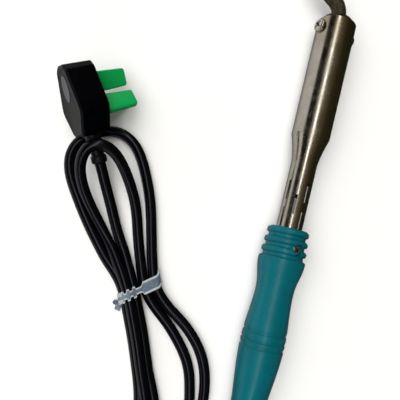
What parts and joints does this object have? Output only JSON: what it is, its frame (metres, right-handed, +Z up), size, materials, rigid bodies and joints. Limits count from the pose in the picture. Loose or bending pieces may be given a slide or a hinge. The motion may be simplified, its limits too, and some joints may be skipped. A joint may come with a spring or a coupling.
{
  "type": "electric soldering iron",
  "caption": "Mains soldering iron with a bent chisel bit clamped in a steel barrel, a slotted neck, a waisted ringed handle, and a folded cord ending in a plug.",
  "frame": {"origin": "on the surface that the iron lies on, below the middle of the iron's own box, with the free cord, its tie and its plug left out", "axes": "+X along the iron towards the bit, +Z up, +Y to the left of the bit, the side that the bit bends to and the folded cord lies on"},
  "size_m": [0.3651, 0.1751, 0.0438],
  "materials": {
    "bit_copper": "oxidised copper, dark olive, rough",
    "collar_steel": "turned steel, dulled by heat",
    "screw_steel": "zinc-plated steel, satin",
    "barrel_steel": "drawn steel, satin, warm reflections",
    "core_steel": "heat-darkened steel",
    "mica": "mica sheet, amber, slightly glossy",
    "winding_wire": "nickel-chrome wire, grey",
    "ceramic_white": "unglazed steatite",
    "lead_nickel": "bare nickel wire",
    "handle_teal": "moulded plastic, semi-gloss teal",
    "terminal_brass": "brass, satin",
    "strip_steel": "tinned steel strip",
    "wire_green_yellow": "green and yellow insulation",
    "wire_brown": "brown insulation",
    "wire_blue": "blue insulation",
    "crimp_metal": "crimped aluminium band",
    "cord_black": "black sheath, semi-gloss",
    "relief_black": "black moulded rubber",
    "tie_plastic": "translucent nylon, milky white",
    "plug_black": "black moulded PVC, satin",
    "bridge_plastic": "hard insert, off-white",
    "pin_brass": "nickel-brass blades",
    "cover_green": "soft green plastic, semi-gloss"
  },
  "bodies": {
    "iron": {"front_collar": "collar_steel", "barrel": "barrel_steel", "core_tube": "core_steel", "mica_former": "mica", "heater_winding": "winding_wire", "mica_wrap": "mica", "ceramic_disc": "ceramic_white", "lead_live": "lead_nickel", "lead_neutral": "lead_nickel", "ceramic_beads": "ceramic_white", "handle": "handle_teal", "handle_screw": "screw_steel", "terminal_block": "ceramic_white", "terminal_screws": "terminal_brass", "earth_strip": "strip_steel", "wire_live": "wire_brown", "wire_neutral": "wire_blue", "wire_earth": "wire_green_yellow", "crimp_ring": "crimp_metal", "cord_tail": "cord_black", "strain_relief": "relief_black", "cord_lead": "cord_black", "cord_hank": "cord_black", "cable_tie": "tie_plastic", "cord_plug_end": "cord_black", "plug_body": "plug_black", "plug_bridge": "bridge_plastic", "plug_relief": "relief_black", "pin_earth": "pin_brass", "pin_live": "pin_brass", "pin_neutral": "pin_brass"},
    "bit": {"bit": "bit_copper"},
    "clamp_screw_left": {"clamp_screw_left": "screw_steel"},
    "clamp_screw_right": {"clamp_screw_right": "screw_steel"},
    "cover_earth": {"cover_earth": "cover_green"},
    "cover_live": {"cover_live": "cover_green"},
    "cover_neutral": {"cover_neutral": "cover_green"}
  },
  "joints": [
    {"name": "bit_slide", "type": "slide", "parent": "iron", "child": "bit", "axis": [1, 0, 0], "range_m": [0, 0.045]},
    {"name": "clamp_left_turn", "type": "hinge", "parent": "iron", "child": "clamp_screw_left", "pos_m": [0.12517, -0.00453, 0.01485], "axis": [0, 0.866, 0.5], "range_deg": [0, 1440]},
    {"name": "clamp_right_turn", "type": "hinge", "parent": "iron", "child": "clamp_screw_right", "pos_m": [0.12517, -0.00453, 0.01485], "axis": [0, -0.866, -0.5], "range_deg": [0, 1440]},
    {"name": "cover_earth_pull", "type": "slide", "parent": "iron", "child": "cover_earth", "axis": [0.5135, -0.7161, -0.4728], "range_m": [0, 0.018]},
    {"name": "cover_live_pull", "type": "slide", "parent": "iron", "child": "cover_live", "axis": [0.5135, -0.7161, -0.4728], "range_m": [0, 0.018]},
    {"name": "cover_neutral_pull", "type": "slide", "parent": "iron", "child": "cover_neutral", "axis": [0.5135, -0.7161, -0.4728], "range_m": [0, 0.018]}
  ]
}
